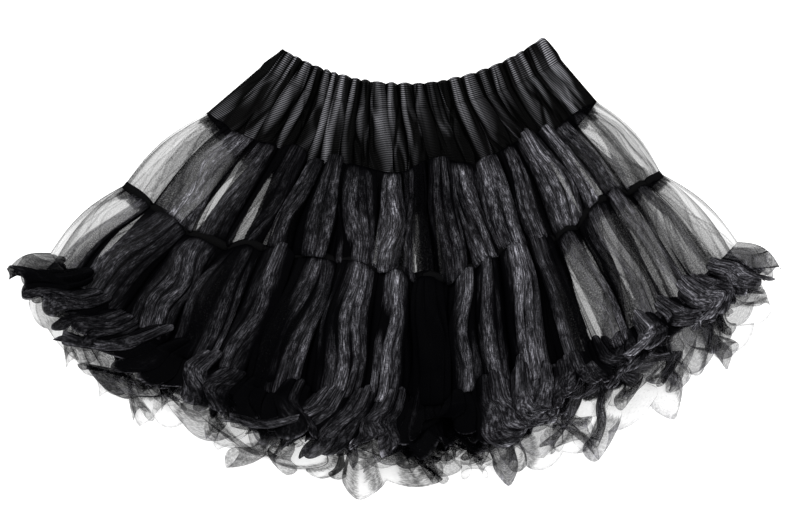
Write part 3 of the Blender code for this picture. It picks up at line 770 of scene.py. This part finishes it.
def ruffle_sheet(ruffle, cut, props, material):
    """One flounce of one side, gathered at its seam and opening into uneven curls at its free edge."""
    t, v = grid(ruffle.columns, ruffle.lines)
    count, seed = ruffle.folds
    edges, heights = fold_places(count, seed)
    number, width, phase = fold_at(t, edges)
    rise = hump(phase)
    share = heights[number] * rise**0.8
    tips = uneven(count, seed + 61, -1.0, 1.0)[number]
    loops = uneven(count, seed + 62, *FLOUNCE_LOOPS)[number]
    leans = uneven(count, seed + 63, *FLOUNCE_LEANS)[number] * (1.0 if ruffle.front else 0.6)
    puffs = uneven(count, seed + 65, 0.2, 1.0)[number]
    small, push = fine_gathers(t, edges, ruffle.curls, seed + 50, FLOUNCE_PUSH)
    inner = 1 - np.abs(t) ** (3 * END_FALL)
    plan = t - (loops * width * np.sin(2 * math.pi * phase) * v**0.8 + push * (0.4 + 0.6 * v)) * inner
    plan = plan + leans * width * rise * v**2 + drift(t, v, seed + 70, FLOUNCE_WANDER) * v**1.3
    plan = plan + FLOUNCE_WAVER * wobble(number, count, seed + 68, v) * width * rise * v
    plan = np.clip(plan, -1, 1)
    rows = FRONT_ROWS if ruffle.front else BACK_ROWS
    length = math.dist(rows["flounce"].middle, rows["hem"].middle)
    point = (rise + pointed(rise)) / 2
    curl = ruffle.tips * (tips - 0.35 * np.cos(4 * math.pi * phase)) * point
    curl = curl + ruffle.points * (pointed(small) - 0.5) + drift(t, v, seed + 72, HEM_WANDER)
    reach = ruffle.reach + (min(ruffle.reach, SIDE_REACH) - ruffle.reach) * np.abs(t) ** 3
    down = v * reach + curl * v**2 / length
    puffed = puffs * rise * (0.5 + 0.5 * small) * hump(np.clip(v / PUFFS_END, 0, 1))
    down = down - ruffle.puff * puffed / length
    down = down * (1 - 0.3 * np.clip((np.abs(t) - 0.95) / 0.05, 0, 1) ** 2)
    x, y = between_rows(rows, "flounce", "hem", plan, down, FLOUNCE_SWELL)
    meet = parting(x, y, plan)
    side = 1 - np.abs(t) ** (END_FALL if ruffle.front else SIDE_FALL)
    if ruffle.front:
        under = FRONT_FLOUNCE_DEPTH * v * side if ruffle.root else 0
        low = meet + LAYER_GAP + ruffle.root + under
        depth = ruffle.depth * side + 1.5
    else:
        half = np.maximum(BACK_SHARE * meet / 2, 1.8)
        low = half + 0.2 if ruffle.root else np.full_like(x, LAYER_GAP)
        depth = np.maximum(half - 2 * LAYER_GAP - 0.4, 0)
    ripple = np.minimum(1.6 * props.fine_depth / MM, 0.4 * depth)
    crease = creased(t, v, props.creases, seed + 90, *FLOUNCE_CREASES)
    z = low + depth * share * v**0.8 + ripple * (small * (0.3 + 0.7 * v) + 0.3 * np.clip(crease, -1, 1))
    z = z + PUFF_HEIGHT * ruffle.puff * puffed
    z = np.maximum(z, low)
    hem = np.clip((v - HEM_START) / (1 - HEM_START), 0, 1)
    opens_at = uneven(count, seed + 66, *ruffle.opens)[number] + 0.15 * small
    single = np.clip((v - opens_at) / 0.05, 0, 1)
    # More layers in the valleys between the folds: partly the tighter gathers there, partly painted
    # shade.
    pinched_and_painted_shade = 0.7 + 1.2 * (1 - rise) ** 2 + 0.5 * (1 - small) ** 2
    layers = strips(t, edges, 3, seed + 98, ruffle.veil) * pinched_and_painted_shade
    few = ruffle.open_layers * uneven(count, seed + 67, 0.3, 1.7)[number]
    layers = layers * (1 - single) + np.minimum(few, layers) * single + 2.5 * hem
    edge_on = turns_back(plan, t)
    layers = layers + wedges(t, v, 60, seed + 97, 0.03) + 1.5 * edge_on
    # Painted highlight: each fold's strength comes from the painted lights table; it is lighter on high
    # folds, crease ridges and edge-on turns, with a pale painted rim along the hem.
    painted_light_strength = uneven(count, seed + 64, 0.15, 1.2)[number] * eased(FLOUNCE_PAINTED_LIGHTS, plan)
    painted_light_mask = share**2 * (0.1 + 1.1 * small**1.5) + 0.4 * np.clip(crease, -0.5, 1)
    painted_light = np.clip(painted_light_strength * (painted_light_mask + 0.4 * edge_on + 0.6 * hem) + 0.15 * hem - 0.05, 0, 1)
    attributes = {"gathered": layers, "painted_light": painted_light}
    return cloth_sheet(ruffle.name, ruffle.front, x, y, z, cut, attributes, material)


def yoke_sheet(name, front, folds, depth, cut, material):
    """The yoke of one side: narrow gathers at the casing that run together into fewer folds below."""
    t, v = grid(1000, 74) if front else grid(300, 40)
    count, seed = folds
    edges, heights = fold_places(count, seed)
    number, width, phase = fold_at(t, edges)
    rise = hump(phase)
    seams = 0.62 if front else 0.7
    fading = uneven(count, seed + 60, -0.5, 1.0)[number]
    share = heights[number] * rise**0.9 * (1 - np.clip(fading, 0, 1) * v**1.5)
    loops = uneven(count, seed + 61, *YOKE_LOOPS)[number]
    small, push = fine_gathers(t, edges, 3, seed + 50, YOKE_PUSH)
    held = np.clip(1 - v / 0.9, 0, 1) ** 0.6
    bell = hump(v) ** 0.5
    plan = t - loops * width * np.sin(2 * math.pi * phase) * bell - push * held * bell
    plan = np.clip(plan + drift(t, v, seed + 70, YOKE_WANDER) * hump(v), -1, 1)
    rows = FRONT_ROWS if front else BACK_ROWS
    casing_x, casing_y = between_rows(rows, "waist", "casing", plan, v / CASING_SHARE)
    lower = (v - CASING_SHARE) / (1 - CASING_SHARE)
    skirt_x, skirt_y = between_rows(rows, "casing", "yoke", plan, lower)
    x = np.where(v <= CASING_SHARE, casing_x, skirt_x)
    y = np.where(v <= CASING_SHARE, casing_y, skirt_y)
    y = y + 2.4 * (share - 0.5) * np.clip(1 - v / 0.05, 0, 1) * (1 - t**SIDE_FALL)
    y = y - 9.0 * np.clip((np.abs(t) - 0.94) / 0.06, 0, 1) ** 2 * np.clip(1 - v / 0.2, 0, 1)
    low, room_up = room(front, x, y, plan, depth)
    swell = seams + (1 - seams) * hump(v)
    stitched = np.exp(-((v - CASING_SHARE) / 0.012) ** 2)
    crease = creased(t, v, 150, seed + 90, *YOKE_CREASES, 0.12)
    crease = crease + creased(t, v, 34, seed + 91, *YOKE_LONG_CREASES, 0.1)
    turned = np.clip(v / 0.03, 0, 1) ** 0.5
    z = low + room_up * share * swell * turned
    z = z + np.minimum(2.4, 0.34 * room_up) * (small * held + crease) - 0.4 * stitched * (share > 0.1)
    z = np.maximum(z, low)
    # Painted highlight: lighter on one flank of each fold and on crease ridges, darker in crease troughs,
    # and a little less along the stitched line.
    painted_light_strength = uneven(count, seed + 62, 0.6, 1.1)[number] * eased(YOKE_PAINTED_LIGHTS, plan)
    painted_lit_flank = 0.5 + 0.5 * np.cos(2 * math.pi * (phase - 0.38))
    painted_light = painted_light_strength * share**1.5 * painted_lit_flank**2.2 * (0.45 + 0.9 * small * held) + 0.4 * np.clip(crease, -1, 1)
    # Painted stripes of light at the yoke's two ends.
    ends = np.clip((np.abs(t) - 0.6) / 0.25, 0, 1)
    painted_light = painted_light * 0.85 + ends * (0.05 + 0.22 * np.sin(11 * math.pi * t + 2.5 * v + 0.6))
    painted_light = np.clip(painted_light, 0, 1) * (1 - 0.35 * stitched)
    return cloth_sheet(name, front, x, y, z, cut, {"painted_light": painted_light}, material)


def tape_sheet(name, front, folds, depth, cut, material):
    """The binding over the tiers' seam, which follows the gathers of the tier below it."""
    t, v = grid(500, 7)
    edges, heights = fold_places(*folds)
    number, width, phase = fold_at(t, edges)
    rows = FRONT_ROWS if front else BACK_ROWS
    share = heights[number] * hump(phase)
    plan = t - 0.16 * width * np.sin(2 * math.pi * phase)
    middle_x, middle_y = row_line(rows, "tier", plan)
    away_x, away_y = middle_x - FAN_CENTRE[0], middle_y - FAN_CENTRE[1]
    far = np.hypot(away_x, away_y)
    half = TAPE_WIDTH / 2 * (0.75 + 0.25 * share)
    x = middle_x + (2 * v - 1) * half * away_x / far
    y = middle_y + (2 * v - 1) * half * away_y / far
    low, rise = room(front, x, y, plan, depth)
    z = low + rise * share * 0.4 + 2.0 * np.sin(math.pi * v)
    return cloth_sheet(name, front, x, y, z, cut, {}, material)


def thicken(piece, thickness):
    """Give a sheet its cloth's thickness, upwards from the points that were laid."""
    solid = piece.modifiers.new("cloth", "SOLIDIFY")
    solid.thickness = thickness
    solid.offset = 1.0


class TUTU_OT_yoke(bpy.types.Operator):
    """Lay the front and back of the ribbed yoke"""

    bl_idname = "tutu.yoke"
    bl_label = "Yoke"

    def execute(self, context):
        cut = (context.scene.tutu_cloth.yoke_cut, YOKE_LENGTH)
        knit = ribbed_knit(context.scene.tutu_finish)
        sides = (("front", YOKE_FRONT_FOLDS, FRONT_YOKE_DEPTH), ("back", YOKE_BACK_FOLDS, 0.0))
        for side, folds, depth in sides:
            piece = yoke_sheet(f"yoke_{side}_knit", side == "front", folds, depth, cut, knit)
            carry(piece, f"yoke_{side}")
        return {"FINISHED"}


class TUTU_OT_tiers(bpy.types.Operator):
    """Lay the gathered tiers of the front and back"""

    bl_idname = "tutu.tiers"
    bl_label = "Tiers"

    def execute(self, context):
        cloth = context.scene.tutu_cloth
        tulle = crinkled_tulle(context.scene.tutu_finish)
        for panel in PANELS:
            width = cloth.upper_cut if panel.upper == "yoke" else cloth.lower_cut
            cut = (width, TIER_LENGTH)
            piece = tier_sheet(panel, cut, cloth, tulle)
            carry(piece, panel.node)
        return {"FINISHED"}


class TUTU_OT_tape(bpy.types.Operator):
    """Lay the binding over the seam between the tiers"""

    bl_idname = "tutu.tape"
    bl_label = "Seam tape"

    def execute(self, context):
        tape = woven_binding(context.scene.tutu_finish)
        sides = (("front", LOWER_FRONT_FOLDS, FRONT_TIER_DEPTH), ("back", LOWER_BACK_FOLDS, 0.0))
        for side, folds, depth in sides:
            piece = tape_sheet(f"tier_tape_{side}_binding", side == "front", folds, depth, TAPE_CUT, tape)
            thicken(piece, TAPE_THICKNESS)
            carry(piece, f"tier_tape_{side}")
        return {"FINISHED"}


class TUTU_OT_flounces(bpy.types.Operator):
    """Lay the gathered flounces along the hem"""

    bl_idname = "tutu.flounces"
    bl_label = "Flounces"

    def execute(self, context):
        cloth = context.scene.tutu_cloth
        tulle = crinkled_tulle(context.scene.tutu_finish)
        for ruffle in RUFFLES:
            cut = (cloth.flounce_cut, FLOUNCE_LENGTH * ruffle.reach)
            piece = ruffle_sheet(ruffle, cut, cloth, tulle)
            carry(piece, ruffle.node)
        return {"FINISHED"}


class TUTU_OT_stage(bpy.types.Operator):
    """Set the white surface, the soft lights and the camera straight above"""

    bl_idname = "tutu.stage"
    bl_label = "Stage"

    def execute(self, context):
        scene = context.scene
        scene.view_settings.view_transform = "Standard"
        bpy.ops.object.select_all(action="DESELECT")
        bpy.ops.mesh.primitive_plane_add(size=12.0, location=(0, 0, -0.0005))
        floor = bpy.context.active_object
        floor.name = "white_surface"
        paper, tree = new_material("white paper sweep")
        surface = add(tree, "ShaderNodeBsdfPrincipled", None,
                      {"Base Color": linear("#f4f4f4"), "Roughness": 0.9, "Specular IOR Level": 0.0,
                       "Emission Color": (1, 1, 1, 1), "Emission Strength": 0.6})
        finish_material(tree, surface)
        floor.data.materials.append(paper)
        world = bpy.data.worlds.new("soft studio")
        world.use_nodes = True
        world.node_tree.nodes["Background"].inputs["Color"].default_value = (1, 1, 1, 1)
        world.node_tree.nodes["Background"].inputs["Strength"].default_value = 0.45
        scene.world = world
        for lamp in LAMPS:
            glow = bpy.data.lights.new(lamp.name, "AREA")
            glow.size = lamp.size
            glow.energy = lamp.power
            light = bpy.data.objects.new(lamp.name, glow)
            light.location = lamp.place
            light.rotation_euler = light.location.to_track_quat("Z", "Y").to_euler()
            scene.collection.objects.link(light)
        lens = bpy.data.cameras.new("above")
        lens.lens = 120.0
        camera = bpy.data.objects.new("above", lens)
        distance = VIEW_WIDTH * lens.lens / lens.sensor_width
        camera.location = (*VIEW_CENTRE, distance)
        scene.collection.objects.link(camera)
        scene.camera = camera
        return {"FINISHED"}


class TUTU_PT_skirt(bpy.types.Panel):
    """The skirt's pieces, in the order that they are laid"""

    bl_label = "Tutu skirt"
    bl_idname = "TUTU_PT_skirt"
    bl_space_type = "VIEW_3D"
    bl_region_type = "UI"
    bl_category = "Tutu"

    def draw(self, context):
        for name in ("fine_gathers", "fine_depth", "creases"):
            self.layout.prop(context.scene.tutu_cloth, name)
        for name in ("tulle", "tulle_painted_highlight", "knit", "knit_painted_highlight", "binding", "binding_lit"):
            self.layout.prop(context.scene.tutu_finish, name)
        for operator in PIECES:
            self.layout.operator(operator.bl_idname)


PIECES = (TUTU_OT_yoke, TUTU_OT_tiers, TUTU_OT_tape, TUTU_OT_flounces, TUTU_OT_stage)
CLASSES = (TutuCloth, TutuFinish, *PIECES, TUTU_PT_skirt)


def register():
    for kind in CLASSES:
        bpy.utils.register_class(kind)
    bpy.types.Scene.tutu_cloth = bpy.props.PointerProperty(type=TutuCloth)
    bpy.types.Scene.tutu_finish = bpy.props.PointerProperty(type=TutuFinish)


def unregister():
    del bpy.types.Scene.tutu_finish
    del bpy.types.Scene.tutu_cloth
    for kind in reversed(CLASSES):
        bpy.utils.unregister_class(kind)


def main():
    register()
    bpy.ops.tutu.yoke()
    bpy.ops.tutu.tiers()
    bpy.ops.tutu.tape()
    bpy.ops.tutu.flounces()
    bpy.ops.tutu.stage()


if __name__ == "__main__":
    main()
